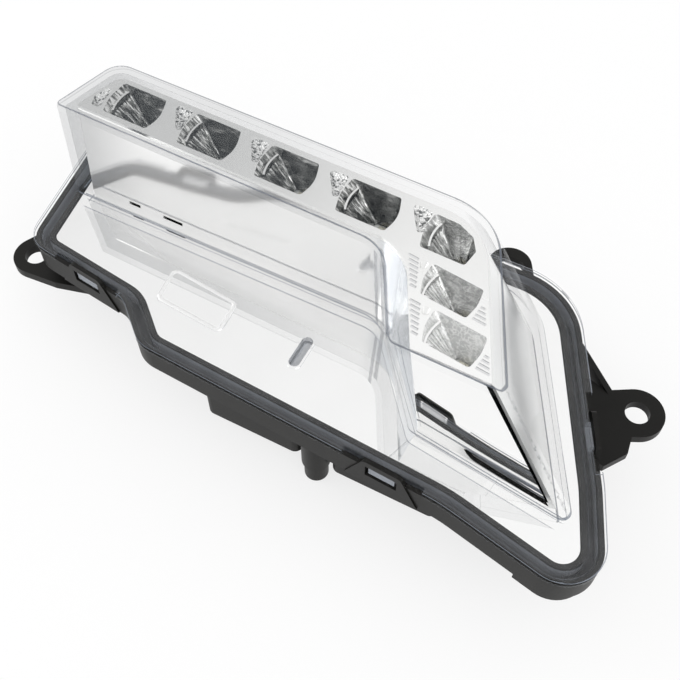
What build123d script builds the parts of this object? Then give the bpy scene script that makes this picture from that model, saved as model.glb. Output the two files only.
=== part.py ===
from build123d import *
import os
from math import atan2, cos, degrees, hypot, radians, sin

# Daytime running light lying on its back, lens up. Millimetres.
# +X runs along the row of lamps, +Y to the long straight edge, +Z out of the lens.
# The origin lies on the outer face of the rear cover, which the lamp rests on.

# Levels above the rest plane, and heights from the panel
panel_level = 38.0      # face of the silver panel
crown_height = 40.0     # panel to the top of the lens block
lens_gap = 1.2          # air between panel and lens
lens_wall = 2.2         # flat wall and flange of the lens
block_wall = 2.4        # walls of the raised lens block
crown_radius = 2.0      # rounding of the block's upper edge
flange_radius = 0.8     # rounding of the flange's upper edge

# Rim outline, anticlockwise from the top left: x, y, corner radius
rim_corners = [
    (-118.0, 39.0, 14.0),
    (-107.0, -30.5, 11.0),
    (-62.0, -36.0, 9.5),
    (-47.0, -49.0, 13.0),
    (64.5, -54.5, 60.0),
    (122.5, -66.0, 13.0),
    (106.5, -26.0, 60.0),
    (73.0, 41.0, 29.0),
]

# Lens block, anticlockwise from the back left: its upper edge, and its foot on the flat wall.
# The six edges are the left end, riser, inside of the leg, end of the leg, side wall and back.
crown_corners = [
    (-101.5, 30.0, 8.0),
    (-109.5, 2.0, 2.5),
    (17.9, -1.6, 14.0),
    (34.0, -32.5, 4.0),
    (72.0, -32.8, 2.5),
    (44.5, 27.0, 26.0),
]
foot_corners = [
    (-106.5, 31.5, 6.0),
    (-105.0, -3.8, 2.5),
    (19.0, -3.8, 12.0),
    (46.0, -36.7, 4.0),
    (103.0, -43.6, 3.0),
    (62.5, 31.5, 26.0),
]

# Bright trim inside the block: how far it lies inside the lens, edge by edge
trim_inset_top = [3.4, 6.0, 7.6, 3.4, 3.6, 3.4]
trim_inset_foot = [5.0, 3.8, 3.6, 3.8, 3.6, 3.6]
trim_wall = 1.2
face_drop = 4.0         # lens crown down to the reflector's face
panel_wall = 1.8
ridge_gap_top = 2.0     # dark gap on the ridge, at its upper and lower end
ridge_gap_foot = 0.5
trim_split_x = 40.0     # where the side trim meets the bezel at the back
pad_corners = [(-54.5, -15.4, 2.0), (-52.9, -28.5, 2.0), (-27.1, -30.6, 2.0), (-28.0, -18.1, 2.0)]
pad_rise = 0.3          # low pad on the panel
slot_place = (1.2, -25.0)
slot_size = (3.9, 12.5)
slot_lip = 0.8          # width of the lip round the slot
slot_rise = 0.4
riser_slots = [(-84.1, -79.3), (-69.4, -61.3)]      # left and right end, near the riser's foot
riser_slot_low = 3.0    # lower edge above the panel
riser_slot_height = 1.2

# Sealing channel, measured in from the rim
channel_start = 0.5
channel_wall = 1.5
groove_width = 3.6
groove_depth = 7.0      # below the panel
channel_floor = 1.8
channel_top_gap = 0.3   # channel walls to the lens
leg_width = 2.4
leg_depth = 5.5         # tip of the sealing leg below the panel
seal_height = 3.5
panel_clearance = 0.4   # panel to the channel's inner wall

# Tray and deep boxes of the housing
tray_depth = 17.0       # panel down to the tray's underside
wall = 2.2
ledge_width = 2.4       # ledge that carries the panel
ledge_height = 2.2
driver_box = (-47.0, -31.0, 36.0, 10.0)     # left, front, right, back
front_boxes = [(-26.0, -46.0, 11.0, -31.0), (23.0, -46.0, 62.0, -31.0)]
front_box_level = 10.0  # underside of the front boxes
box_radius = 3.0
peg_place = (17.0, -44.5)
peg_radius = 5.0
spigot_radius = 4.2     # free end of the peg, below the front boxes
peg_chamfer = 0.8
peg_lift = 0.5          # tip of the peg above the rest plane
tip_ring_start = 92.0   # deeper skirt under the pointed tip
tip_ring_depth = 15.0

# Clip loops: number of the rim's edge, share of the way along it
clip_edge_share = [(1, 0.62), (3, 0.824), (6, 0.25), (7, 0.54)]
clip_base = 26.0
clip_top = 13.0
clip_rise = 4.6         # top of the loop above the panel
clip_thick = 1.6
clip_radius = 2.0
window_width = 11.0
window_low = 3.5        # lower edge of the window below the panel
window_high = 1.8       # upper edge above the panel
catch_width = 9.0
catch_depth = 2.5       # catch below the panel
notch_width = 28.0      # notch in the lens flange round a loop
notch_depth = 2.3

# Fixing ears: hole, lobe radius, hole radius, slot length, upper face; points that the lobe is joined to; foot
ear_top = 25.0
left_ear_top = 22.0
ear_thick = 3.5
right_ear = ((107.3, 13.6), 9.2, 4.2, 0.0, ear_top)
right_neck = [(95.0, 17.0), (108.6, 4.0)]
right_foot = [(84.0, 20.0), (90.0, -8.0), (104.0, -10.5), (109.4, -2.5), (108.6, 4.0), (95.0, 17.0)]
top_ear = ((45.8, 52.0), 8.0, 3.2, 4.0, ear_top)
top_neck = [(64.0, 36.0), (34.0, 36.0)]
top_foot = [(34.0, 30.0), (64.0, 30.0), (64.0, 36.0), (34.0, 36.0)]
left_ear = ((-113.0, -24.2), 8.5, 4.2, 0.0, left_ear_top)
left_neck = [(-115.7, -10.3), (-99.0, -31.5)]
left_foot = [(-115.7, -10.3), (-99.0, -31.5), (-80.0, -26.4), (-98.0, -6.2)]
gusset_line = [(82.0, 27.0), (97.5, 17.5)]  # web from the rim down to the right ear
gusset_thick = 2.0

# Row of lamps and the leg: cell openings in the reflector's face
row_start = (-104.5, 24.8)
row_angle = -1.6
row_pitch = 30.5
row_count = 5
leg_centres = [(41.2, -4.4), (49.0, -19.8)]
leg_angle = -7.0
cup_depth = 11.0
cup_wall = 1.0
cup_share = 0.3         # size of a bowl's bottom opening against its mouth
cup_corner = 1.2        # corner radius of a bowl, where its corner states none
bowl_radius = 14.0      # rounded left and right side of a bowl
plate_wall = 1.5
bowl_corners = [
    (8.8, 0.0), (8.3, -8.0, bowl_radius), (10.4, -14.8), (28.0, -14.8), (29.6, -8.0, bowl_radius), (26.6, 0.0),
]
last_bowl_corners = [
    (8.4, -0.3), (8.0, -8.0, bowl_radius), (10.0, -14.8), (25.4, -14.8), (26.2, -8.2), (23.0, -3.4), (17.0, -0.6),
]
leg_bowl_corners = [
    (-8.3, 5.6), (-8.0, -1.0, bowl_radius), (-5.4, -6.4), (10.4, -6.4), (11.0, -0.4, bowl_radius), (9.6, 5.6),
]
bowl_focus = (25.4, -6.9)       # point that a bowl's walls run down towards
last_focus = (22.6, -8.4)
leg_focus = (8.0, -0.6)
led_shift = -2.1                # emitter from the focus, along the cell

# Shallow corner left of a bowl
wing_depth = 1.0
wing_share = 0.5
wing_corners = [(0.0, 0.0), (8.9, -13.4), (7.5, 0.0)]
first_wing_corners = [(6.4, -0.6), (3.5, -10.2), (5.0, -14.2), (8.4, -14.2)]
leg_wing_corners = [(-12.6, 5.2), (-6.7, -6.0), (-9.4, 5.2)]

# Curved rib and flutes in a bowl, from the bowl's first corner
arch_points = [(4.0, -12.6), (2.8, -7.6), (3.4, -2.4)]
arch_wall = 0.7
arch_drop = 0.5         # top of the rib below the face
flute_count = 7
flute_width = 0.7
flute_rise = 0.6
flute_length = 7.0

# Boards, emitters and heat sink
board_thick = 1.6
board_gap = 0.5         # cups to the boards
board_width = 14.0
board_middle = -8.2     # middle of the row board, from the row's start line
row_board_start = 7.5   # along the row, from its start
row_board_end = 146.0
leg_board_width = 15.0
leg_board_ends = (-7.0, 20.0)   # along the leg, from the first centre
led_size = 3.0
led_thick = 0.8
dome_radius = 1.2
sink_thick = 2.5
sink_margin = 0.5
fin_height = 12.0
fin_thick = 1.8
fin_offsets = [-5.2, 5.2]
post_radius = 3.5
screw_radius = 1.3
head_radius = 2.7
head_thick = 1.8
screw_length = 12.0
screw_clearance = 0.15
row_screw_shift = 1.0   # from the start of a cell
ribbon_shift = 4.0      # from the start of the last cell
link_size = (8.0, 5.0, 0.4)
link_hold = 1.0         # length of the jumper on the leg board

# Driver box contents
cover_thick = 3.2
cover_margin = 2.0
seal_thick = 1.0
column = 7.0
head_recess = 2.0
driver_level = 8.4      # underside of the driver board
driver_margin = 1.0
driver_boss = 6.0
driver_boss_x = [-20.0, 10.0]
coil_size = (12.0, 12.0, 7.0)
coil_place = (18.0, -12.0)
chip_size = (10.0, 10.0, 1.6)
chip_place = (-2.0, -14.0)
can_radius = 4.0
can_height = 9.5
can_places = [(-16.0, -20.0), (-26.0, -20.0)]
socket_size = (8.6, 4.0, 3.0)
ribbon_width = 7.0
ribbon_thick = 0.6
ribbon_start_y = -1.0
ribbon_bend = 2.0
connector_y = -12.0
connector_size = (15.0, 24.0, 12.0)
connector_wall = 2.0
pin_size = (0.8, 2.0)
pin_pitch = 6.0
pin_count = 3
pin_reach = 9.0         # length of a pin inside the socket
pin_tail = 4.0          # length of a pin on the board
pin_clearance = 0.1

# Breather on the tray
vent_place = (70.0, 6.0)
vent_radius = 4.5
vent_bore = 2.5
vent_length = 6.0
membrane_thick = 0.4
cap_wall = 1.6
cap_clearance = 0.2


# Outline helpers

def inset(corners, distances):
    """Corners moved in, by one distance or by one per edge; edge k starts at corner k."""
    count = len(corners)
    if not isinstance(distances, list):
        distances = [distances] * count
    moved = []
    for k in range(count):
        x0, y0, _ = corners[k - 1]
        x1, y1, radius = corners[k]
        x2, y2, _ = corners[(k + 1) % count]
        before = hypot(x1 - x0, y1 - y0)
        after = hypot(x2 - x1, y2 - y1)
        bx, by = (x1 - x0) / before, (y1 - y0) / before
        ax, ay = (x2 - x1) / after, (y2 - y1) / after
        turn = bx * ay - by * ax
        near, far = distances[k - 1], distances[k]
        shift = (near + far) / 2 if turn > 0 else -(near + far) / 2
        moved.append((
            x1 + (near * ax - far * bx) / turn,
            y1 + (near * ay - far * by) / turn,
            max(radius - shift, 0.4),
        ))
    return moved


def between(low, high, share):
    """Corners part of the way from one outline to another."""
    return [tuple(a + (b - a) * share for a, b in zip(p, q)) for p, q in zip(low, high)]


def outline(corners):
    points = [(x, y) for x, y, _ in corners]
    radii = [radius for _, _, radius in corners]
    return make_face(FilletPolyline(points, radius=radii, close=True))


def prism(corners, bottom, top):
    return extrude(Pos(0, 0, bottom) * outline(corners), amount=top - bottom, dir=(0, 0, 1))


def ring(corners, outer, inner, bottom, top):
    return prism(inset(corners, outer), bottom, top) - prism(inset(corners, inner), bottom, top)


def taper(low, low_level, high, high_level):
    """Solid with straight walls between two outlines."""
    return loft([Pos(0, 0, low_level) * outline(low), Pos(0, 0, high_level) * outline(high)], ruled=True)


def box(left, front, bottom, right, back, top):
    middle = ((left + right) / 2, (front + back) / 2, (bottom + top) / 2)
    return Pos(*middle) * Box(right - left, back - front, top - bottom)


def rounded_box(sides, bottom, top, radius, margin=0.0):
    left, front, right, back = sides
    corners = [(left, back, radius), (left, front, radius), (right, front, radius), (right, back, radius)]
    return prism(inset(corners, margin), bottom, top)


def cylinder(place, radius, bottom, top):
    return Pos(place[0], place[1], (bottom + top) / 2) * Cylinder(radius, top - bottom)


# Levels that several pieces share

lens_bottom = panel_level + lens_gap
lens_top = lens_bottom + lens_wall
crown_level = panel_level + crown_height
face_level = crown_level - face_drop
plate_level = face_level - plate_wall
cup_level = face_level - cup_depth
board_top = cup_level - board_gap
board_bottom = board_top - board_thick
sink_bottom = board_bottom - sink_thick
tray_bottom = panel_level - tray_depth
tray_floor = tray_bottom + wall
channel_bottom = panel_level - groove_depth - channel_floor
groove_start = channel_start + channel_wall
groove_end = groove_start + groove_width
inner_end = groove_end + channel_wall
leg_start = groove_start + (groove_width - leg_width) / 2
driver_top = driver_level + board_thick
box_bottom = cover_thick + seal_thick
ribbon_x = row_start[0] + row_pitch * (row_count - 1) + ribbon_shift


# Outer lens

def block_between(level_low, level_high, margin):
    """Raised block of the lens between two levels, its walls moved in by the margin."""
    reach = crown_level - lens_top
    low = between(foot_corners, crown_corners, (level_low - lens_top) / reach)
    high = between(foot_corners, crown_corners, (level_high - lens_top) / reach)
    return taper(inset(low, margin), level_low, inset(high, margin), level_high)


def clip_frame(place):
    """Frame at a clip: x along the rim, y inwards."""
    edge, share = place
    x0, y0, _ = rim_corners[edge]
    x1, y1, _ = rim_corners[(edge + 1) % len(rim_corners)]
    turn = degrees(atan2(y1 - y0, x1 - x0))
    return Pos(x0 + (x1 - x0) * share, y0 + (y1 - y0) * share, panel_level) * Rot(0, 0, turn)


def make_outer_lens():
    block = block_between(lens_bottom, crown_level, 0)
    upper_edge = block.faces().sort_by(Axis.Z)[-1].edges()
    block = fillet(upper_edge, crown_radius)
    flange = prism(rim_corners, lens_bottom, lens_top)
    lens = fillet(flange.edges().group_by(Axis.Z)[-1], flange_radius) + block
    lens -= block_between(lens_bottom - lens_wall, crown_level - block_wall, block_wall)
    lens += ring(rim_corners, leg_start, leg_start + leg_width, panel_level - leg_depth, lens_bottom)
    for place in clip_edge_share:
        half = notch_width / 2
        notch = box(-half, -1, lens_gap - 1, half, notch_depth, lens_gap + lens_wall + 1)
        half = catch_width / 2
        catch = box(-half, channel_start, -catch_depth, half, leg_start + leg_width / 2, lens_gap)
        lens = lens - clip_frame(place) * notch + clip_frame(place) * catch
    return lens


def make_lens_seal():
    bottom = panel_level - groove_depth
    bead = ring(rim_corners, groove_start, groove_end, bottom, bottom + seal_height)
    leg = ring(rim_corners, leg_start, leg_start + leg_width, panel_level - leg_depth, lens_bottom)
    return bead - leg


# Bright inner trim

def trim_between(level_low, level_high, margin):
    low = inset(foot_corners, trim_inset_foot)
    high = inset(crown_corners, trim_inset_top)
    reach = face_level - panel_level
    bottom = inset(between(low, high, (level_low - panel_level) / reach), margin)
    top = inset(between(low, high, (level_high - panel_level) / reach), margin)
    return taper(bottom, level_low, top, level_high)


def trim_hollow():
    """Space inside the trim, cut right through the panel."""
    return trim_between(panel_level - 2 * panel_wall, plate_level + trim_wall, trim_wall)


def side_region(gap_share):
    """Region of the side trim in plan, its front edge beside the gap on the ridge."""
    top_x, top_y, _ = inset(crown_corners, trim_inset_top)[4]
    foot_x, foot_y, _ = inset(foot_corners, trim_inset_foot)[4]
    slope = (foot_y - top_y) / (foot_x - top_x)
    ahead = 30.0
    start = (trim_split_x, top_y - slope * (top_x - trim_split_x) + ridge_gap_top * gap_share)
    end = (foot_x + ahead, foot_y + slope * ahead + ridge_gap_foot * gap_share)
    far = rim_corners[0][1]
    corners = [start, end, (end[0], far), (trim_split_x, far)]
    face = make_face(Polyline(*corners, close=True))
    return extrude(Pos(0, 0, panel_level) * face, amount=crown_height, dir=(0, 0, 1))


def panel_slot(margin, bottom, top):
    """Oblong through the panel, larger all round by the margin."""
    x, y = slot_place
    half_width, half_length = slot_size[0] / 2, slot_size[1] / 2
    sides = (x - half_width, y - half_length, x + half_width, y + half_length)
    return rounded_box(sides, bottom, top, half_width - 0.05, -margin)


def make_bezel():
    panel = prism(inset(rim_corners, inner_end + panel_clearance), panel_level - panel_wall, panel_level)
    raised = trim_between(panel_level - panel_wall / 2, plate_level, 0) - side_region(-0.5)
    pad = prism(pad_corners, panel_level - panel_wall / 2, panel_level + pad_rise)
    lip = panel_slot(slot_lip, panel_level - panel_wall / 2, panel_level + slot_rise)
    bezel = panel + raised + pad + lip - trim_hollow()
    bezel -= panel_slot(0, panel_level - 2 * panel_wall, panel_level + panel_wall)
    low = panel_level + riser_slot_low
    for left, right in riser_slots:
        bezel -= box(left, -2 * trim_wall, low, right, 3 * trim_wall, low + riser_slot_height)
    return bezel


def make_side_trim():
    raised = trim_between(panel_level, plate_level, 0) & side_region(0.5)
    return raised - trim_hollow()


# Reflector

def row_frame(index):
    """Frame of a cell in the row, its origin at the cell's upper left corner."""
    start = Pos(row_start[0], row_start[1], 0) * Rot(0, 0, row_angle)
    return start * Pos(row_pitch * index, 0, 0)


def leg_frame(index):
    return Pos(*leg_centres[index], 0) * Rot(0, 0, leg_angle)


def rounded(corners):
    return [corner if len(corner) == 3 else (*corner, cup_corner) for corner in corners]


def towards(corners, focus, share):
    """Corners drawn in towards a point."""
    return [
        (focus[0] + (x - focus[0]) * share, focus[1] + (y - focus[1]) * share, radius * share)
        for x, y, radius in corners
    ]


def cup_solid(corners, focus, margin, rise):
    """Inside of a bowl, or with a negative margin its outside, from its mouth down."""
    mouth = rounded(corners)
    bottom = towards(mouth, focus, cup_share)
    share = 1 + rise / cup_depth
    return taper(
        inset(bottom, margin), cup_level - rise,
        inset(between(bottom, mouth, share), margin), face_level + rise,
    )


def wing_pocket(corners):
    middle = [sum(values) / len(corners) for values in zip(*corners)]
    mouth = rounded(corners)
    return taper(towards(mouth, middle, wing_share), face_level - wing_depth, mouth, face_level)


def cells():
    """Each cell's frame, bowl, focus and wing."""
    listed = []
    for index in range(row_count):
        last = index == row_count - 1
        listed.append((
            row_frame(index),
            last_bowl_corners if last else bowl_corners,
            last_focus if last else bowl_focus,
            first_wing_corners if index == 0 else wing_corners,
        ))
    for index in range(len(leg_centres)):
        listed.append((leg_frame(index), leg_bowl_corners, leg_focus, leg_wing_corners))
    return listed


def cup_arch(corners):
    """Curved rib across the bowl's long slope."""
    points = [(corners[0][0] + x, corners[0][1] + y) for x, y in arch_points]
    band = trace(ThreePointArc(*points), arch_wall)
    return extrude(Pos(0, 0, cup_level) * band, amount=cup_depth - arch_drop, dir=(0, 0, 1))


def cup_flutes(corners, focus):
    """Low ribs that run from the curved rib down the long slope."""
    skin = cup_solid(corners, focus, -cup_wall / 2, 0.0) - cup_solid(corners, focus, flute_rise, 0.1)
    (x0, y0), (x1, y1), (x2, y2) = arch_points
    bars = Part()
    for k in range(flute_count):
        share = (k + 0.5) / flute_count
        x = corners[0][0] + (1 - share) * ((1 - share) * x0 + share * x1) + share * ((1 - share) * x1 + share * x2)
        y = corners[0][1] + y0 + (y2 - y0) * share
        turn = degrees(atan2(focus[1] - y, focus[0] - x))
        bar = box(0, -flute_width / 2, cup_level, flute_length, flute_width / 2, face_level - arch_drop)
        bars += Pos(x, y, 0) * Rot(0, 0, turn) * bar
    return bars & skin


def make_reflector():
    top = inset(crown_corners, trim_inset_top)
    solid = prism(top, plate_level, face_level)
    for frame, corners, focus, _ in cells():
        solid += frame * cup_solid(corners, focus, -cup_wall, 0.0)
    for frame, corners, focus, wing in cells():
        solid -= frame * cup_solid(corners, focus, 0.0, 0.2)
        solid -= frame * wing_pocket(wing)
    for frame, corners, focus, _ in cells():
        inside = cup_solid(corners, focus, -cup_wall / 2, 0.0)
        solid += frame * (cup_arch(corners) & inside)
        solid += frame * cup_flutes(corners, focus)
    return solid


# Boards, emitters, heat sink

def row_strip(bottom, top, margin):
    start = Pos(row_start[0], row_start[1], 0) * Rot(0, 0, row_angle)
    middle = board_middle
    half = board_width / 2 - margin
    return start * box(row_board_start + margin, middle - half, bottom, row_board_end - margin, middle + half, top)


def leg_line():
    """Start and direction of the line through the leg's cells."""
    (x0, y0), (x1, y1) = leg_centres
    return Pos(x0, y0, 0) * Rot(0, 0, degrees(atan2(y1 - y0, x1 - x0)))


def leg_strip(bottom, top, margin, overlap=0.0):
    start, end = leg_board_ends
    half = leg_board_width / 2 - margin
    return leg_line() * box(start + margin - overlap, -half, bottom, end - margin, half, top)


def screw_frames():
    """Screws through boards and heat sink: two between cells of the row, one between the leg's cells."""
    (x0, y0), (x1, y1) = leg_centres
    frames = [row_frame(index) * Pos(row_screw_shift, board_middle, 0) for index in range(1, row_count, 2)]
    frames.append(Pos((x0 + x1) / 2, (y0 + y1) / 2, 0))
    return frames


def screw_holes(bottom, top, radius):
    holes = [frame * cylinder((0, 0), radius, bottom, top) for frame in screw_frames()]
    return holes


def make_led_board(strip):
    board = strip(board_bottom, board_top, 0)
    for hole in screw_holes(board_bottom - 1, board_top + 1, screw_radius + screw_clearance):
        board -= hole
    return board


def make_led(frame, focus):
    body = box(-led_size / 2, -led_size / 2, board_top, led_size / 2, led_size / 2, board_top + led_thick)
    dome = Pos(0, 0, board_top + led_thick) * Sphere(dome_radius)
    dome &= box(-led_size, -led_size, board_top + led_thick / 2, led_size, led_size, board_top + led_size)
    return frame * Pos(focus[0] + led_shift, focus[1], 0) * (body + dome)


def make_heat_sink():
    overlap = board_width / 2
    sink = row_strip(sink_bottom, board_bottom, sink_margin)
    sink += leg_strip(sink_bottom, board_bottom, sink_margin, overlap)
    start = Pos(row_start[0], row_start[1], 0) * Rot(0, 0, row_angle)
    for offset in fin_offsets:
        middle = board_middle + offset
        sink += start * box(
            row_board_start + sink_margin, middle - fin_thick / 2, sink_bottom - fin_height,
            row_board_end - sink_margin, middle + fin_thick / 2, sink_bottom,
        )
        sink += leg_line() * box(
            leg_board_ends[0] + sink_margin, offset - fin_thick / 2, sink_bottom - fin_height,
            leg_board_ends[1] - sink_margin, offset + fin_thick / 2, sink_bottom,
        )
    for hole in screw_holes(sink_bottom - 1, board_bottom + 1, screw_radius + screw_clearance):
        sink -= hole
    return sink


def make_board_screws():
    screws = []
    for frame in screw_frames():
        head = cylinder((0, 0), head_radius, board_top, board_top + head_thick)
        shank = cylinder((0, 0), screw_radius, board_top - screw_length, board_top)
        screws.append(frame * (head + shank))
    return screws


def make_board_link():
    """Jumper that bridges the row board and the leg board."""
    length, width, thick = link_size
    start = leg_line() * Pos(leg_board_ends[0], 0, 0)
    return start * box(link_hold - length, -width / 2, board_top, link_hold, width / 2, board_top + thick)


# Rear housing

def ear(spec, neck, foot):
    """Fixing ear: a plate from its foot on the tray to a round lobe."""
    place, lobe, _, _, top = spec
    lobe_edge = Pos(*place, 0) * Edge.make_circle(lobe)
    shape = make_hull(lobe_edge.edges() + Line(*neck).edges()) + make_face(Polyline(*foot, close=True))
    return extrude(Pos(0, 0, top - ear_thick) * shape, amount=ear_thick, dir=(0, 0, 1))


def gusset():
    """Upright web that falls from the channel to the right ear."""
    (x0, y0), (x1, y1) = gusset_line
    length = hypot(x1 - x0, y1 - y0)
    low = ear_top - ear_thick
    top = panel_level - groove_depth
    web = make_face(Polyline((0, low), (length, low), (length, ear_top), (0, top), close=True))
    solid = extrude(Plane.XZ * web, amount=gusset_thick, dir=(0, -1, 0))
    return Pos(x0, y0, 0) * Rot(0, 0, degrees(atan2(y1 - y0, x1 - x0))) * solid


def ear_hole(spec):
    (x, y), _, hole, slot, top = spec
    bottom = top - ear_thick - 1
    cut = cylinder((x, y), hole, bottom, top + 1)
    if slot > 0:
        half = slot / 2
        cut = cylinder((x - half, y), hole, bottom, top + 1)
        cut += cylinder((x + half, y), hole, bottom, top + 1)
        cut += box(x - half, y - hole, bottom, x + half, y + hole, top + 1)
    return cut


def clip_loop():
    """Loop with a window for the lens catch, in the frame of a clip."""
    low = channel_bottom - panel_level
    shape = Polyline(
        (-clip_base / 2, low), (clip_base / 2, low), (clip_top / 2, clip_rise), (-clip_top / 2, clip_rise),
        close=True,
    )
    face = fillet(make_face(shape).vertices().group_by(Axis.Y)[-1], clip_radius)
    thick = clip_thick
    return extrude(Plane.XZ * face, amount=thick, dir=(0, 1, 0))


def clip_window():
    half = window_width / 2
    return box(-half, -1, -window_low, half, groove_start + 0.05, window_high)


def make_rear_housing():
    tray = prism(inset(rim_corners, groove_end), tray_bottom, panel_level + lens_gap - channel_top_gap)
    top = panel_level + lens_gap - channel_top_gap
    body = tray
    body += ring(rim_corners, channel_start, groove_end, channel_bottom, panel_level - groove_depth)
    body += ring(rim_corners, channel_start, groove_start, channel_bottom, top)
    ring_part = ring(rim_corners, groove_start, groove_start + wall, panel_level - tip_ring_depth, channel_bottom)
    body += ring_part & box(tip_ring_start, -200, 0, 200, 200, panel_level)
    for sides in front_boxes:
        body += rounded_box(sides, front_box_level, tray_floor, box_radius)
    body += rounded_box(driver_box, box_bottom, tray_floor, box_radius)
    body += cylinder(peg_place, peg_radius, front_box_level, channel_bottom)
    spigot = cylinder(peg_place, spigot_radius, peg_lift, front_box_level)
    body += chamfer(spigot.edges().sort_by(Axis.Z)[0], peg_chamfer)
    body += ear(right_ear, right_neck, right_foot) + gusset()
    body += ear(top_ear, top_neck, top_foot)
    body += ear(left_ear, left_neck, left_foot)
    for place in clip_edge_share:
        body += clip_frame(place) * clip_loop()
    body += make_connector()
    body += cylinder(vent_place, vent_radius, tray_bottom - vent_length, tray_bottom)

    body -= prism(inset(rim_corners, inner_end), tray_floor, top + 1)
    for sides in front_boxes:
        body -= rounded_box(sides, front_box_level + wall, tray_floor + 1, box_radius, wall)
    body -= rounded_box(driver_box, box_bottom - 1, tray_floor + 1, box_radius, wall)
    for place in clip_edge_share:
        body -= clip_frame(place) * clip_window()
    for spec in (right_ear, top_ear, left_ear):
        body -= ear_hole(spec)
    body -= connector_cavity()
    body -= cylinder(vent_place, vent_bore, tray_bottom - vent_length - 1, tray_floor + 1)

    level = panel_level - panel_wall
    body += ring(rim_corners, groove_end, inner_end + ledge_width, level - ledge_height, level)
    for frame in screw_frames():
        place = frame.position
        body += cylinder((place.X, place.Y), post_radius, tray_floor, sink_bottom)
        body -= cylinder((place.X, place.Y), screw_radius, board_top - screw_length, sink_bottom + 1)
    for column_box in cover_columns():
        body += column_box
    for boss in driver_bosses():
        body += boss
    for x, y in cover_screw_places():
        body -= cylinder((x, y), screw_radius, 0, cover_thick + screw_length)
    for x, y in driver_screw_places():
        body -= cylinder((x, y), screw_radius, driver_level - 1, driver_top + screw_length / 2)
    return body


# Driver box

def cover_screw_places():
    left, front, right, back = driver_box
    near = wall + column / 2
    return [(x, y) for x in (left + near, right - near) for y in (front + near, back - near)]


def cover_columns():
    half = column / 2
    return [
        box(x - half, y - half, box_bottom, x + half, y + half, tray_floor)
        for x, y in cover_screw_places()
    ]


def driver_screw_places():
    _, front, _, back = driver_box
    near = wall + driver_boss / 2
    return [(driver_boss_x[0], back - near), (driver_boss_x[1], front + near)]


def driver_bosses():
    half = driver_boss / 2
    return [
        box(x - half, y - half, driver_top, x + half, y + half, tray_floor)
        for x, y in driver_screw_places()
    ]


def make_driver_board():
    board = rounded_box(driver_box, driver_level, driver_top, box_radius, wall + driver_margin)
    notch = column / 2 + driver_margin
    for x, y in cover_screw_places():
        board -= box(x - notch, y - notch, driver_level - 1, x + notch, y + notch, driver_top + 1)
    for x, y in driver_screw_places():
        board -= cylinder((x, y), screw_radius + screw_clearance, driver_level - 1, driver_top + 1)
    return board


def make_driver_screws():
    screws = []
    for x, y in driver_screw_places():
        head = cylinder((x, y), head_radius, driver_level - head_thick, driver_level)
        screws.append(head + cylinder((x, y), screw_radius, driver_level, driver_top + screw_length / 2))
    return screws


def block_on_board(size, place):
    length, width, height = size
    x, y = place
    return box(x - length / 2, y - width / 2, driver_top, x + length / 2, y + width / 2, driver_top + height)


def make_driver_coil():
    length, width, height = coil_size
    coil = block_on_board(coil_size, coil_place)
    coil = fillet(coil.edges().filter_by(Axis.Z), length / 5)
    groove = ring([
        (coil_place[0] - length, coil_place[1] + width, 1), (coil_place[0] - length, coil_place[1] - width, 1),
        (coil_place[0] + length, coil_place[1] - width, 1), (coil_place[0] + length, coil_place[1] + width, 1),
    ], 0, length / 2 + 1.2, driver_top + height / 3, driver_top + height * 2 / 3)
    return coil - groove


def make_driver_capacitors():
    cans = []
    for place in can_places:
        base = block_on_board((2 * can_radius, 2 * can_radius, 1.2), place)
        can = cylinder(place, can_radius - 0.3, driver_top + 1.2, driver_top + can_height)
        cans.append(base + can)
    return cans


def make_rear_cover():
    left, front, right, back = driver_box
    cover = rounded_box(driver_box, 0, cover_thick, box_radius + cover_margin, -cover_margin)
    for x, y in cover_screw_places():
        cover -= cylinder((x, y), head_radius + screw_clearance, -1, head_recess)
        cover -= cylinder((x, y), screw_radius + screw_clearance, 0, cover_thick + 1)
    return cover


def make_cover_seal():
    seal = rounded_box(driver_box, cover_thick, box_bottom, box_radius)
    return seal - rounded_box(driver_box, cover_thick, box_bottom, box_radius, wall)


def make_cover_screws():
    screws = []
    for x, y in cover_screw_places():
        head = cylinder((x, y), head_radius, head_recess - head_thick, head_recess)
        screws.append(head + cylinder((x, y), screw_radius, head_recess, cover_thick + screw_length))
    return screws


# Connector

def connector_sides(margin):
    depth, width, height = connector_size
    left = driver_box[0]
    middle = driver_top + pin_size[0] / 2
    half_width = width / 2 - margin
    half_height = height / 2 - margin
    return left, depth, connector_y - half_width, connector_y + half_width, middle - half_height, middle + half_height


def make_connector():
    left, depth, front, back, bottom, top = connector_sides(0)
    return box(left - depth, front, bottom, left + wall / 2, back, top)


def connector_cavity():
    left, depth, front, back, bottom, top = connector_sides(connector_wall)
    cavity = box(left - depth - 1, front, bottom, left, back, top)
    for y in pin_rows():
        half = pin_size[1] / 2 + pin_clearance
        cavity += box(
            left - 1, y - half, driver_top - pin_clearance,
            left + wall + 1, y + half, driver_top + pin_size[0] + pin_clearance,
        )
    return cavity


def pin_rows():
    return [connector_y + pin_pitch * (k - (pin_count - 1) / 2) for k in range(pin_count)]


def make_connector_pins():
    left = driver_box[0]
    half = pin_size[1] / 2
    end = left + wall + driver_margin + pin_tail
    return [
        box(left - pin_reach, y - half, driver_top, end, y + half, driver_top + pin_size[0])
        for y in pin_rows()
    ]


# Flat lead between the boards

def ribbon_edge():
    """Level line of the row board's back edge at the lead, and the lead's own plane behind it."""
    along = (ribbon_x - row_start[0]) / cos(radians(row_angle))
    middle = row_start[1] + along * sin(radians(row_angle)) + board_middle
    return middle, middle + board_width / 2 + 1.2


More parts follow.
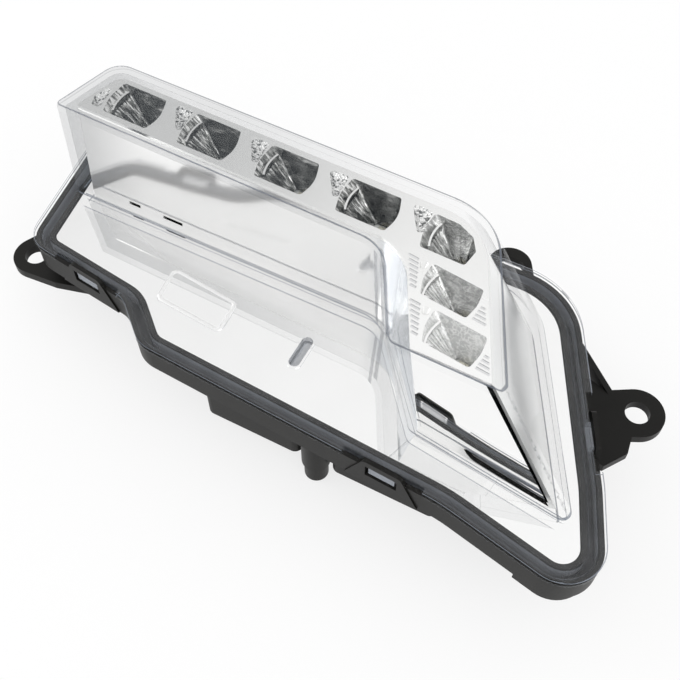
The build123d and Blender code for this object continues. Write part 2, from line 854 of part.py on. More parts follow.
def make_ribbon_socket(top):
    middle, _ = ribbon_edge()
    length, width, height = socket_size
    level = board_top if top else driver_top
    y = middle + board_width / 2 - width if top else ribbon_start_y
    return box(ribbon_x - length / 2, y - width / 2, level, ribbon_x + length / 2, y + width / 2, level + height)


def make_led_ribbon():
    middle, plane_y = ribbon_edge()
    low = driver_top + socket_size[2]
    high = board_top + socket_size[2] / 2
    end = middle + board_width / 2 - socket_size[1] / 2
    path = FilletPolyline(
        (ribbon_start_y, low), (ribbon_start_y, low + 8), (plane_y, tray_floor + 8), (plane_y, high), (end, high),
        radius=[ribbon_bend, ribbon_bend, ribbon_thick],
    )
    face = trace(path, ribbon_thick)
    strip = extrude(Plane.YZ * face, amount=ribbon_width, dir=(1, 0, 0))
    return Pos(ribbon_x - ribbon_width / 2, 0, 0) * strip


# Breather

def make_vent_membrane():
    bottom = tray_bottom - vent_length
    return cylinder(vent_place, vent_radius, bottom - membrane_thick, bottom)


def make_vent_cap():
    bottom = tray_bottom - vent_length - membrane_thick
    inner = vent_radius + cap_clearance
    cap = cylinder(vent_place, inner + cap_wall, bottom - cap_wall, tray_bottom - vent_length / 3)
    return cap - cylinder(vent_place, inner, bottom, tray_bottom)


# All nodes

def all_parts():
    parts = {
        "outer_lens": make_outer_lens(),
        "lens_seal": make_lens_seal(),
        "bezel": make_bezel(),
        "side_trim": make_side_trim(),
        "reflector": make_reflector(),
        "led_board_row": make_led_board(row_strip),
        "led_board_leg": make_led_board(leg_strip),
        "heat_sink": make_heat_sink(),
        "board_screws": make_board_screws(),
        "board_link": make_board_link(),
        "rear_housing": make_rear_housing(),
        "driver_board": make_driver_board(),
        "driver_screws": make_driver_screws(),
        "driver_chip": block_on_board(chip_size, chip_place),
        "driver_coil": make_driver_coil(),
        "driver_capacitors": make_driver_capacitors(),
        "connector_pins": make_connector_pins(),
        "ribbon_socket_top": make_ribbon_socket(True),
        "ribbon_socket_bottom": make_ribbon_socket(False),
        "led_ribbon": make_led_ribbon(),
        "rear_cover": make_rear_cover(),
        "cover_seal": make_cover_seal(),
        "cover_screws": make_cover_screws(),
        "vent_membrane": make_vent_membrane(),
        "vent_cap": make_vent_cap(),
    }
    for index, (frame, _, focus, _) in enumerate(cells()):
        if index < row_count:
            name = f"led_row_{index + 1}"
        else:
            name = f"led_leg_{index - row_count + 1}"
        parts[name] = make_led(frame, focus)
    return parts


os.makedirs("parts", exist_ok=True)
for node, shape in all_parts().items():
    if isinstance(shape, list):
        shape = Compound(children=shape)
    export_step(shape, f"parts/{node}.step")
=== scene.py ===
import math

import bpy
from mathutils import Matrix, Vector


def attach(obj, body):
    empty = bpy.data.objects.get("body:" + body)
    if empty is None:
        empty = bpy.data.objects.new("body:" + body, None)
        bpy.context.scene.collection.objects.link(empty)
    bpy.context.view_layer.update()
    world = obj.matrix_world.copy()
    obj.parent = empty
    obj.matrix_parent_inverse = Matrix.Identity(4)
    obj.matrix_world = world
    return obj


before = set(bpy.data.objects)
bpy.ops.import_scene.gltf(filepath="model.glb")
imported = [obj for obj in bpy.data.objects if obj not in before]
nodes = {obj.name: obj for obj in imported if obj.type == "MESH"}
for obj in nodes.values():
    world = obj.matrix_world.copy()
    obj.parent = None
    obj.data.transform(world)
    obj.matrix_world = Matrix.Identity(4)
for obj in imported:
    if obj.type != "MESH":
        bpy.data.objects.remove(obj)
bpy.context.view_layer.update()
scene = bpy.context.scene


def grey(value):
    return (value,) * 3


# Lengths are in metres, unless a comment says otherwise. A pair of limits for a mask holds
# the value where the mask starts and the value where it is full.

# Camera fitted to the photograph, in millimetres and degrees
CAMERA_PLACE = (97.47, -179.21, 314.09)
CAMERA_TURN = 27.9
CAMERA_DROP = 56.0
CAMERA_LENS = 52.94
CAMERA_SENSOR = 36.0
CAMERA_NEAR = 0.01              # in metres
MM_PER_METRE = 1000.0

# Noise textures: scale and detail, and the values where a mottled colour starts and ends
BROAD_NOISE = (60.0, 3.0)
PLATING_NOISE = (35.0, 2.0)
GLOSS_NOISE = (160.0, 4.0)
LENS_NOISE = (25.0, 2.0)
LENS_GLOSS_NOISE = (220.0, 4.0)
FLANGE_SHEEN_NOISE = (140.0, 3.0)
GRAIN_DETAIL = 5.0
MOTTLE_LIMITS = (0.3, 0.7)

# Grained and plated surfaces: how the gloss varies, the bump, and the plating's darker patches
GRAIN_GLOSS = (0.85, 1.15)
GRAIN_STRENGTH = 0.35
PLATING_GLOSS = (0.7, 1.3)
PLATING_STRENGTH = 0.1
PLATING_DEPTH = 0.0001
PLATING_DARK = 0.97

# Limits of the upward part of a normal that count as lying flat
FLAT_SLOPE = (0.93, 0.97)

# Reflector: its face, its row of lamps and its leg
FACE_LEVEL = 0.074
FACE_LIMITS = (FACE_LEVEL - 0.00085, FACE_LEVEL - 0.00070)
FACE_FRONT = -0.0158            # in front of this line the row has only its flat face
FACE_COLOUR = (0.97, 0.97, 0.96)
ROW_START = (-0.1045, 0.0248, 0.0)
ROW_TURN = math.radians(-1.6)
ROW_PITCH = 0.0305
ROW_WING = 0.0082               # the wing of a row lamp ends here, along its pitch
LEG_START = (0.0412, -0.0044, 0.0)
LEG_TURN = math.radians(-7.0)
LEG_STEP = (0.0096, -0.0143)
LEG_BORDER = -0.0172            # the leg starts beyond this line across the row
LEG_WING = -0.0084

# Reflector: bowls, with painted reflection streaks and painted shade on the walls that face back. Noises give
# scale, detail and stretch
STREAK_NOISE = (900.0, 6.0, (0.22, 1.0, 0.3))
STREAK_REFLECTION_COLOURS = [(0.38, (0.06, 0.062, 0.06)), (0.5, (0.38, 0.385, 0.37)), (0.59, (1.0, 1.0, 0.99))]
STREAK_ROUGH = (0.08, 0.2)
BACK_FACING = (0.35, 0.6)
BACK_NOISE = (520.0, 6.0, (0.3, 1.0, 0.8))
BACK_SHADE_COLOURS = [(0.36, (0.11, 0.112, 0.11)), (0.55, (0.26, 0.264, 0.26)), (0.68, (0.80, 0.80, 0.79))]

# Reflector: towards the corner and down the leg the bowls grow paler, with painted glints
CORNER_ALONG = (0.012, 0.026)
CORNER_ACROSS = (-0.012, 0.024)
PALE_SHARE = (0.40, 0.75)
PALE_COLOUR = (0.88, 0.885, 0.88)
GLINT_NOISE = (620.0, 1.0, (0.6, 1.0, 0.8))
GLINT_BAND = (0.47, 0.53, 0.02)
GLINT_SPECK_NOISE = (1300.0, 2.0)
GLINT_SPECK_LIMITS = (0.58, 0.64)
GLINT_SHARE = (0.35, 0.9)
GLINT_COLOUR = (1.0, 1.0, 0.99)
CORNER_METAL = (1.0, 0.3)

# Reflector: wings of the row with painted glints, clean wings of the leg
SPARKLE_SCALE = 1500.0
SPARKLE_GLINT_COLOURS = [(0.10, (0.16, 0.165, 0.165)), (0.30, (0.62, 0.625, 0.62)), (0.45, (0.98, 0.98, 0.97))]
LEG_WING_COLOUR = (0.93, 0.93, 0.92)
SPARKLE_STRENGTH = 0.5
SPARKLE_DEPTH = 0.0006
EVEN_HEIGHT = grey(0.5)

# Ribs beside the lamps of the leg. A line gives its place on the leg's axis and its slope
RIB_COUNT = 7
RIB_FIRST = 0.0044
RIB_PITCH = 0.0016
RIB_HALF = 0.0005
RIB_RISE = 0.0004
RIB_BEVEL = 0.0003
RIB_SINK = 0.00002
RIB_SHORTEST = 0.0012
RIB_LEFT_LINE = (-0.0135, -0.688)
RIB_RIGHT_START = 0.0119
RIB_RIGHT_LINE = (0.0133, -0.618)
RIB_WING_CORNER = (-0.0126, 0.0052)
RIB_WING_SLOPE = 0.53
RIB_WING_GAP = 0.0006
RIB_FACES = ((0, 2, 1), (3, 4, 5), (0, 3, 5, 2), (1, 2, 5, 4), (0, 1, 4, 3))
# Painted shade: the ribs' colour grows darker on the sides whose normals face away from the front
RIB_FACING = (0.5, 1.0)
RIB_SHADE_COLOURS = [(0.40, (0.97, 0.97, 0.965)), (0.62, (0.70, 0.71, 0.72)), (0.80, (0.34, 0.35, 0.37))]
RIB_ROUGH = (0.06, 0.12)

# Lens: levels, and the direction that the middle of its bend faces
LENS_BOTTOM = 0.0392
LENS_TOP = 0.0414
CROWN_UNDER = 0.0756
BLOCK_LEVEL = (LENS_TOP, LENS_TOP + 0.004)
CROWN_LEVEL = (CROWN_UNDER - 0.0004, CROWN_UNDER - 0.0002)
SEALED_LEVEL = LENS_BOTTOM - 0.0002
LENS_BEND = (-0.52, -0.854)

# Lens: painted dark lines along its edges, at its foot and at its bend, standing in for the shade and
# highlights the clear plastic shows there. A band has two ends and a softness
EDGE_BAND = (0.69, 0.85, 0.04)
FAR_FACING = (0.1, 0.3)
FAR_BAND = (0.25, 0.97, 0.02)
RIGHT_FACING = (0.2, 0.4)
RIGHT_BAND = (0.66, 0.975, 0.02)
OUTER_FOOT = (LENS_TOP, LENS_TOP + 0.0008, 0.0001)
INNER_FOOT = (LENS_BOTTOM, LENS_BOTTOM + 0.0006, 0.0001)
INNER_CROWN = (CROWN_UNDER - 0.0005, CROWN_UNDER, 0.0001)
INNER_CROWN_SHARE = 0.22
BEND_FACING = (0.9965, 0.9985)
BEND_SHARE = 0.7
STEEP_SLOPE = (0.80, 0.90)
PAINTED_LINE_SOLID = grey(0.78)
PAINTED_LINE_LOW = (0.24, 0.265, 0.31)
PAINTED_LINE_HIGH = (0.13, 0.145, 0.175)

# Lens: colours, and how solid each part of it looks. The flange carries a painted sheen, the sealed leg a
# painted grey-blue highlight, and the left end and the crown a painted shade that fades to the right
LENS_DARK = (0.14, 0.155, 0.17)
LENS_LIGHT = (0.18, 0.195, 0.21)
LENS_SOLID = [(0.0, 0.010), (0.57, 0.012), (0.64, 0.12), (0.76, 0.17), (0.95, 0.34)]
LENS_BLEND = 0.5
LENS_ROUGH = (0.02, 0.08)
LENS_IOR = 1.45
LENS_WALL = (0.56, 0.62)
LEFT_END = (-0.112, -0.066)
LEFT_END_SHADE_SOLID = (0.30, 0.0)
FLANGE_SHEEN_COLOUR = (0.90, 0.92, 0.95)
FLANGE_SOLID = (0.03, 0.085)
SEALED_HIGHLIGHT_COLOUR = (0.42, 0.45, 0.50)
SEALED_SOLID = grey(0.5)
CROWN_FADE = (-0.06, 0.04)
CROWN_SHADE_SOLID = (0.26, 0.05)

# Bezel: its walls, where the riser takes over from the facet, and the painted shade, a darker bluish grey, on
# walls facing left and at the bend
BEZEL_WALL = (0.4, 0.6)
RISER_ZONE = (-0.024, -0.006)
RISER_ROUGH = (0.025, 0.10)
RISER_METAL = (1.0, 0.68)
LEFT_FACING = (0.30, 0.70)
SHADE_BEND_LEVEL = (0.045, 0.055)
SHADE_BEND_ALONG = (0.010, 0.022)
PAINTED_SHADE_COLOUR = (0.76, 0.79, 0.83)

# Bezel: how far the facet's plating leans back, and how the lean changes with height at the point
FACET_TILT = 0.16
FACET_END = (0.058, 0.068)
FACET_RISE = (0.038, 0.050)
FACET_CURVE = [(0.0, 0.42), (0.29, 0.37), (0.36, 0.27), (0.43, 0.16)]

# Low pad on the panel: corners, their rounding, and the step's section as outward shift and rise
PANEL_LEVEL = 0.038
PAD_CORNERS = [(-0.0545, -0.0154), (-0.0529, -0.0285), (-0.0271, -0.0306), (-0.0280, -0.0181)]
PAD_RADIUS = 0.002
PAD_STEPS = 10
PAD_SECTION = [(0.0009, -0.00005), (0.0006, 0.00034), (0.0001, 0.00052), (-0.0005, 0.00042),
               (-0.0009, 0.00025)]

# Slot in the panel: middle, width and length, and the cup's rings as growth and level
SLOT_PLACE = (0.0012, -0.0250)
SLOT_SIZE = (0.0039, 0.0125)
SLOT_RINGS = [(0.0001, -0.0017), (-0.0001, -0.0026), (-0.0005, -0.0032), (-0.0011, -0.0034)]
SLOT_STEPS = 14

# Floor
FLOOR_HALF = 4.0
FLOOR_WHITE = 0.93
FLOOR_ROUGH = 0.9
FLOOR_SHINE = 0.1
FLOOR_GLOW = 0.75

# Studio: the sky's greys by height, its left side, and the lamps with their place, width and watts
SKY_STOPS = [(0.0, 0.62), (0.25, 0.80), (0.55, 0.96), (1.0, 1.0)]
SKY_LEFT = (-0.75, 0.05)
SKY_LEFT_LOW = grey(0.80)
SKY_LEFT_HIGH = grey(0.87)
LAMP_AIM = (0.0, 0.0, 0.03)
LAMPS = [("key_softbox", (-1.3, -0.2, 0.7), 1.45, 6.0), ("fill_softbox", (1.2, -0.5, 0.9), 1.2, 4.0)]
CLEAR_BOUNCES = 24


# Node helpers

class Graph:
    """A node tree, with short calls for the nodes that the materials share."""

    def __init__(self, node_tree):
        self.nodes, self.links = node_tree.nodes, node_tree.links

    def add(self, kind, **values):
        node = self.nodes.new(kind)
        for key, value in values.items():
            setattr(node, key, value)
        return node

    def feed(self, socket, value):
        """Give a socket a number or a colour, or link it to another socket."""
        if isinstance(value, tuple):
            socket.default_value = (*value, 1.0)
        elif isinstance(value, (int, float)):
            socket.default_value = value
        else:
            self.links.new(value, socket)

    def place(self):
        """The part's own coordinates."""
        return self.add("ShaderNodeTexCoord").outputs["Object"]

    def apart(self, vector):
        node = self.add("ShaderNodeSeparateXYZ")
        self.feed(node.inputs["Vector"], vector)
        return node.outputs["X"], node.outputs["Y"], node.outputs["Z"]

    def cell_frame(self, start, turn):
        """Coordinates along a line of lamps, from its start."""
        mapping = self.add("ShaderNodeMapping", vector_type="TEXTURE")
        mapping.inputs["Location"].default_value = start
        mapping.inputs["Rotation"].default_value = (0.0, 0.0, turn)
        self.feed(mapping.inputs["Vector"], self.place())
        return mapping.outputs["Vector"]

    def noise(self, scale, detail, stretch=None):
        """Noise in the part's own coordinates."""
        out = self.place()
        if stretch is not None:
            mapping = self.add("ShaderNodeMapping")
            mapping.inputs["Scale"].default_value = stretch
            self.feed(mapping.inputs["Vector"], out)
            out = mapping.outputs["Vector"]
        texture = self.add("ShaderNodeTexNoise")
        self.feed(texture.inputs["Scale"], scale)
        self.feed(texture.inputs["Detail"], detail)
        self.feed(texture.inputs["Vector"], out)
        return texture.outputs["Fac"]

    def ramp(self, source, stops):
        node = self.add("ShaderNodeValToRGB")
        elements = node.color_ramp.elements
        while len(elements) < len(stops):
            elements.new(0.5)
        for element, (place, colour) in zip(elements, stops):
            element.position = place
            element.color = (*colour, 1.0)
        self.feed(node.inputs["Fac"], source)
        return node.outputs["Color"]

    def grey_ramp(self, source, stops):
        return self.ramp(source, [(place, grey(value)) for place, value in stops])

    def mottle(self, source, dark, light):
        """Two colours shared out by a noise."""
        return self.ramp(source, list(zip(MOTTLE_LIMITS, (dark, light))))

    def mixed(self, share, first, second):
        node = self.add("ShaderNodeMix", data_type="RGBA")
        for key, value in (("Factor", share), ("A", first), ("B", second)):
            self.feed(node.inputs[key], value)
        return node.outputs["Result"]

    def spread(self, source, low, high, start=0.0, end=1.0):
        """Straight change from the low to the high value as the source goes from start to end."""
        node = self.add("ShaderNodeMapRange")
        for key, value in (("From Min", start), ("From Max", end), ("To Min", low), ("To Max", high)):
            self.feed(node.inputs[key], value)
        self.feed(node.inputs["Value"], source)
        return node.outputs["Result"]

    def step_up(self, source, low, high):
        """0 below the lower value, 1 above the upper one, smooth between."""
        node = self.add("ShaderNodeMapRange", interpolation_type="SMOOTHSTEP")
        self.feed(node.inputs["From Min"], low)
        self.feed(node.inputs["From Max"], high)
        self.feed(node.inputs["Value"], source)
        return node.outputs["Result"]

    def band(self, source, low, high, soft):
        """1 between two values, with soft ends."""
        rise = self.step_up(source, low - soft, low + soft)
        fall = self.step_up(source, high - soft, high + soft)
        return self.maths("SUBTRACT", rise, fall)

    def maths(self, operation, first, second):
        """One Math node between two sockets or numbers."""
        node = self.add("ShaderNodeMath", operation=operation)
        self.feed(node.inputs[0], first)
        self.feed(node.inputs[1], second)
        return node.outputs["Value"]

    def plus(self, first, second):
        return self.maths("ADD", first, second)

    def times(self, first, second):
        return self.maths("MULTIPLY", first, second)

    def larger(self, first, second):
        return self.maths("MAXIMUM", first, second)

    def below(self, first, second):
        return self.maths("LESS_THAN", first, second)

    def rest(self, mask):
        """Everything that a mask leaves out."""
        return self.maths("SUBTRACT", 1.0, mask)

    def size(self, source):
        return self.maths("ABSOLUTE", source, 0.0)

    def minus(self, source):
        return self.times(source, -1.0)

    def bump(self, shader, source, strength, distance, normal=None):
        node = self.add("ShaderNodeBump")
        if normal is not None:
            self.feed(node.inputs["Normal"], normal)
        self.feed(node.inputs["Strength"], strength)
        self.feed(node.inputs["Distance"], distance)
        self.feed(node.inputs["Height"], source)
        self.feed(shader.inputs["Normal"], node.outputs["Normal"])


def new_material(name):
    material = bpy.data.materials.new(name)
    material.use_nodes = True
    return material, Graph(material.node_tree), material.node_tree.nodes["Principled BSDF"]


# Surfaces

def plain(name, colour, rough, metal=0.0, grain=900.0, vary=0.12, depth=0.00005, stretch=None, shine=0.5):
    """Solid surface with a fine grain, small colour changes and uneven gloss."""
    material, g, shader = new_material(name)
    fine = g.noise(grain, GRAIN_DETAIL, stretch)
    broad = g.noise(*BROAD_NOISE)
    dark = tuple(c * (1 - vary) for c in colour)
    light = tuple(min(1.0, c * (1 + vary)) for c in colour)
    g.feed(shader.inputs["Base Color"], g.mottle(broad, dark, light))
    gloss = [rough * share for share in GRAIN_GLOSS]
    g.feed(shader.inputs["Roughness"], g.spread(fine, *gloss))
    g.feed(shader.inputs["Metallic"], metal)
    g.feed(shader.inputs["Specular IOR Level"], shine)
    g.bump(shader, fine, GRAIN_STRENGTH, depth)
    return material


def plating(g, colour):
    """Slow noise of a plated surface, and the plating's colour."""
    slow = g.noise(*PLATING_NOISE)
    return slow, g.mottle(slow, tuple(c * PLATING_DARK for c in colour), colour)


def bright(name, colour, rough, metal):
    """Plated surface with faint haze."""
    material, g, shader = new_material(name)
    slow, plated = plating(g, colour)
    g.feed(shader.inputs["Base Color"], plated)
    gloss = [rough * share for share in PLATING_GLOSS]
    g.feed(shader.inputs["Roughness"], g.spread(g.noise(*GLOSS_NOISE), *gloss))
    g.feed(shader.inputs["Metallic"], metal)
    g.bump(shader, slow, PLATING_STRENGTH, PLATING_DEPTH)
    return material


def rib_surface(name):
    """Plated ribs with painted shade: darker on the sides that face away from the front."""
    material, g, shader = new_material(name)
    facing_y = g.apart(g.add("ShaderNodeNewGeometry").outputs["Normal"])[1]
    g.feed(shader.inputs["Base Color"], g.ramp(g.spread(facing_y, *RIB_FACING), RIB_SHADE_COLOURS))
    g.feed(shader.inputs["Roughness"], g.spread(g.noise(*GLOSS_NOISE), *RIB_ROUGH))
    g.feed(shader.inputs["Metallic"], 1.0)
    return material


def bezel_surface(name, colour):
    """Plated bezel: mirror panel, hazier riser, painted shade on walls facing left and on the bend, and a
    facet whose plating leans back.
    """
    material, g, shader = new_material(name)
    slow, plated = plating(g, colour)
    normal = g.add("ShaderNodeNewGeometry").outputs["Normal"]
    side_x, _, side_z = g.apart(normal)
    along, across, level = g.apart(g.place())
    wall = g.rest(g.step_up(g.size(side_z), *BEZEL_WALL))
    riser = g.times(wall, g.step_up(across, *RISER_ZONE))
    facet = g.maths("SUBTRACT", wall, riser)
    # Painted shade: walls facing left and the bend outside the facet take a darker bluish grey
    to_left = g.step_up(g.minus(side_x), *LEFT_FACING)
    bend = g.times(g.step_up(level, *SHADE_BEND_LEVEL), g.step_up(along, *SHADE_BEND_ALONG))
    painted_shade = g.larger(to_left, g.times(bend, g.rest(facet)))
    g.feed(shader.inputs["Base Color"], g.mixed(painted_shade, plated, PAINTED_SHADE_COLOUR))
    g.feed(shader.inputs["Roughness"], g.spread(riser, *RISER_ROUGH))
    g.feed(shader.inputs["Metallic"], g.spread(riser, *RISER_METAL))

    lean = g.add("ShaderNodeMix")
    g.feed(lean.inputs["Factor"], g.step_up(along, *FACET_END))
    g.feed(lean.inputs["A"], FACET_TILT)
    g.feed(lean.inputs["B"], g.grey_ramp(g.spread(level, 0.0, 1.0, *FACET_RISE), FACET_CURVE))
    tilt = g.add("ShaderNodeVectorMath", operation="SCALE")
    tilt.inputs[0].default_value = (0.0, 0.0, 1.0)
    g.feed(tilt.inputs["Scale"], g.times(facet, lean.outputs["Result"]))
    leaned = g.add("ShaderNodeVectorMath", operation="ADD")
    g.feed(leaned.inputs[0], normal)
    g.feed(leaned.inputs[1], tilt.outputs["Vector"])
    g.bump(shader, slow, PLATING_STRENGTH, PLATING_DEPTH, leaned.outputs["Vector"])
    return material


def painted_lens_lines(g, facing, level, outward, inward):
    """Mask of the lens's painted dark lines: its rounded edges, the foot of its wall and its bend."""
    side_x, side_y, side_z = facing
    upright = g.size(side_z)
    far = g.step_up(g.maths("SUBTRACT", side_y, side_x), *FAR_FACING)
    right = g.step_up(side_x, *RIGHT_FACING)
    edges = g.larger(g.band(upright, *EDGE_BAND), g.times(far, g.band(side_z, *FAR_BAND)))
    edges = g.larger(edges, g.times(right, g.band(side_z, *RIGHT_BAND)))
    edges = g.times(edges, outward)

    outer_foot = g.times(g.band(level, *OUTER_FOOT), outward)
    inner_foot = g.times(g.band(level, *INNER_FOOT), inward)
    inner_crown = g.times(g.band(level, *INNER_CROWN), inward)
    foot = g.plus(g.plus(outer_foot, inner_foot), g.times(inner_crown, INNER_CROWN_SHARE))
    towards = g.plus(g.times(side_x, LENS_BEND[0]), g.times(side_y, LENS_BEND[1]))
    bend = g.step_up(g.size(towards), *BEND_FACING)
    foot = g.larger(foot, g.times(bend, BEND_SHARE))
    steep = g.rest(g.step_up(upright, *STEEP_SLOPE))
    return g.larger(edges, g.times(foot, steep))


def clear(name):
    """Clear polycarbonate: an outside tint that grows with the slant, painted edge lines, a painted sheen on
    the flange, a painted highlight on the sealed leg, and painted shade at the left end and on the crown.
    """
    material, g, shader = new_material(name)
    shape = g.add("ShaderNodeNewGeometry")
    inward = shape.outputs["Backfacing"]
    outward = g.rest(inward)
    facing = g.apart(shape.outputs["Normal"])
    side_z = facing[2]
    along, _, level = g.apart(g.place())
    line = painted_lens_lines(g, facing, level, outward, inward)
    block = g.step_up(level, *BLOCK_LEVEL)
    flange = g.times(g.times(outward, g.rest(block)), g.step_up(side_z, *FLAT_SLOPE))
    sealed = g.below(level, SEALED_LEVEL)

    # Painted sheen: a pale veil over the flange; painted highlight: a grey-blue tint on the sealed leg in the
    # dark channel
    tint = g.mottle(g.noise(*LENS_NOISE), LENS_DARK, LENS_LIGHT)
    tint = g.mixed(flange, tint, FLANGE_SHEEN_COLOUR)
    tint = g.mixed(sealed, tint, SEALED_HIGHLIGHT_COLOUR)
    # Painted lines: near-black on the block, a lighter grey-blue on the flange, where they read as a highlight
    # over the black channel
    line_colour = g.mixed(block, PAINTED_LINE_LOW, PAINTED_LINE_HIGH)
    g.feed(shader.inputs["Base Color"], g.mixed(line, tint, line_colour))
    g.feed(shader.inputs["Roughness"], g.spread(g.noise(*LENS_GLOSS_NOISE), *LENS_ROUGH))
    g.feed(shader.inputs["IOR"], LENS_IOR)

    slant = g.add("ShaderNodeLayerWeight")
    g.feed(slant.inputs["Blend"], LENS_BLEND)
    solid = g.grey_ramp(slant.outputs["Facing"], LENS_SOLID)
    wall = g.rest(g.step_up(g.size(side_z), *LENS_WALL))
    # Painted shade: the left end wall and the crown are greyer towards the left
    left_end = g.spread(g.step_up(along, *LEFT_END), *LEFT_END_SHADE_SOLID)
    left_end = g.times(left_end, g.times(wall, block))
    solid = g.times(g.larger(solid, left_end), outward)
    solid = g.mixed(flange, solid, g.spread(g.noise(*FLANGE_SHEEN_NOISE), *FLANGE_SOLID))
    solid = g.mixed(sealed, solid, SEALED_SOLID)
    crown = g.step_up(level, *CROWN_LEVEL)
    crown_solid = g.spread(g.step_up(along, *CROWN_FADE), *CROWN_SHADE_SOLID)
    solid = g.mixed(crown, solid, g.times(crown_solid, outward))
    g.feed(shader.inputs["Alpha"], g.mixed(line, solid, PAINTED_LINE_SOLID))
    return material


def reflector_surface(name):
    """Plated reflector: bright face, wings with painted glints, bowls with painted reflection streaks and
    painted shade on their back walls, paler down the leg with painted glints.
    """
    material, g, shader = new_material(name)
    row = g.cell_frame(ROW_START, ROW_TURN)
    along, across, level = g.apart(row)
    along = g.maths("FLOORED_MODULO", along, ROW_PITCH)
    leg_along, leg_across, _ = g.apart(g.cell_frame(LEG_START, LEG_TURN))
    second = g.below(leg_across, LEG_STEP[1] / 2)
    leg_along = g.maths("SUBTRACT", leg_along, g.times(second, LEG_STEP[0]))
    in_leg = g.below(across, LEG_BORDER)
    in_row = g.rest(in_leg)
    wing = g.plus(g.times(in_row, g.below(along, ROW_WING)), g.times(in_leg, g.below(leg_along, LEG_WING)))

    _, facing_y, facing_z = g.apart(g.add("ShaderNodeNewGeometry").outputs["True Normal"])
    flat = g.times(g.step_up(facing_z, *FLAT_SLOPE), g.step_up(level, *FACE_LIMITS))
    face = g.larger(flat, g.times(g.below(across, FACE_FRONT), in_row))

    # Painted reflections: dark and bright streaks on the bowls; painted shade: darker colours on the walls
    # facing back
    streaks = g.noise(*STREAK_NOISE)
    back = g.step_up(g.minus(facing_y), *BACK_FACING)
    bowl_colour = g.mixed(back, g.ramp(streaks, STREAK_REFLECTION_COLOURS), g.ramp(g.noise(*BACK_NOISE), BACK_SHADE_COLOURS))
    place_x, place_y, _ = g.apart(g.place())
    corner = g.step_up(place_x, *CORNER_ALONG)
    lower = g.times(g.step_up(g.minus(place_y), *CORNER_ACROSS), corner)
    pale = g.times(corner, g.spread(lower, *PALE_SHARE))
    bowl_colour = g.mixed(pale, bowl_colour, PALE_COLOUR)
    # Painted glints: white bands and specks towards the corner and down the leg
    glints = g.band(g.noise(*GLINT_NOISE), *GLINT_BAND)
    glints = g.larger(glints, g.step_up(g.noise(*GLINT_SPECK_NOISE), *GLINT_SPECK_LIMITS))
    glints = g.times(g.times(glints, corner), g.spread(lower, *GLINT_SHARE))
    bowl_colour = g.mixed(glints, bowl_colour, GLINT_COLOUR)

    # Painted glints: the row's wings take colours from dark to white by a Voronoi pattern
    sparkle = g.add("ShaderNodeTexVoronoi")
    g.feed(sparkle.inputs["Scale"], SPARKLE_SCALE)
    g.feed(sparkle.inputs["Vector"], row)
    chance = g.add("ShaderNodeSeparateColor")
    g.feed(chance.inputs["Color"], sparkle.outputs["Color"])
    wing_colour = g.mixed(in_leg, g.ramp(chance.outputs["Red"], SPARKLE_GLINT_COLOURS), LEG_WING_COLOUR)

    low_colour = g.mixed(wing, bowl_colour, wing_colour)
    g.feed(shader.inputs["Base Color"], g.mixed(face, low_colour, FACE_COLOUR))
    g.feed(shader.inputs["Roughness"], g.spread(streaks, *STREAK_ROUGH))
    g.feed(shader.inputs["Metallic"], g.spread(lower, *CORNER_METAL))
    height = g.mixed(wing, streaks, sparkle.outputs["Distance"])
    smooth = g.larger(face, g.times(wing, in_leg))
    height = g.mixed(smooth, height, EVEN_HEIGHT)
    g.bump(shader, height, SPARKLE_STRENGTH, SPARKLE_DEPTH)
    return material


# Materials of the CAD nodes and of the small pieces

housing = plain("housing_black", (0.009, 0.0087, 0.0078), 0.42, grain=2200.0, vary=0.2, depth=0.00006,
                shine=0.16)
seal = plain("seal_black", (0.08, 0.082, 0.087), 0.45, grain=1500.0)
trim = bezel_surface("bright_trim", (0.97, 0.97, 0.965))
side = bright("bright_side", (0.95, 0.955, 0.95), 0.22, metal=0.6)
polished = rib_surface("bright_rib")
pad_bright = bright("pad_bright", (0.90, 0.90, 0.895), 0.2, metal=0.45)
cup_grey = bright("slot_grey", (0.50, 0.51, 0.53), 0.3, metal=0.7)
lens = clear("lens_clear")
reflector = reflector_surface("reflector_bright")
board_white = plain("board_white", (0.80, 0.81, 0.79), 0.45, grain=1200.0, vary=0.05)
board_green = plain("board_green", (0.03, 0.16, 0.07), 0.4, grain=1200.0, vary=0.2)
emitter = plain("led_yellow", (0.68, 0.66, 0.56), 0.22, grain=2500.0, vary=0.06)
aluminium = plain("sink_aluminium", (0.62, 0.63, 0.64), 0.38, metal=1.0, grain=500.0, vary=0.08, depth=0.00004,
                  stretch=(0.1, 1.0, 1.0))
steel = plain("screw_steel", (0.55, 0.56, 0.58), 0.3, metal=1.0, vary=0.1, depth=0.00003)
copper = plain("link_copper", (0.70, 0.44, 0.26), 0.3, metal=1.0, vary=0.1, depth=0.00003)
brass = plain("pin_brass", (0.78, 0.64, 0.34), 0.26, metal=1.0, vary=0.08, depth=0.00002)
component = plain("component_black", (0.02, 0.02, 0.022), 0.5, grain=2500.0)
ferrite = plain("coil_grey", (0.09, 0.09, 0.10), 0.6, grain=1500.0)
can = plain("can_silver", (0.70, 0.71, 0.73), 0.28, metal=1.0, grain=700.0, vary=0.06, depth=0.00002,
            stretch=(1.0, 1.0, 0.1))
socket = plain("socket_white", (0.78, 0.76, 0.68), 0.5, grain=1500.0, vary=0.06)
ribbon = plain("ribbon_white", (0.72, 0.74, 0.76), 0.4, vary=0.1, stretch=(12.0, 0.4, 0.4))
rubber = plain("vent_rubber", (0.022, 0.022, 0.022), 0.65, grain=1800.0)
membrane = plain("membrane_white", (0.80, 0.80, 0.78), 0.85, grain=3000.0, vary=0.08)

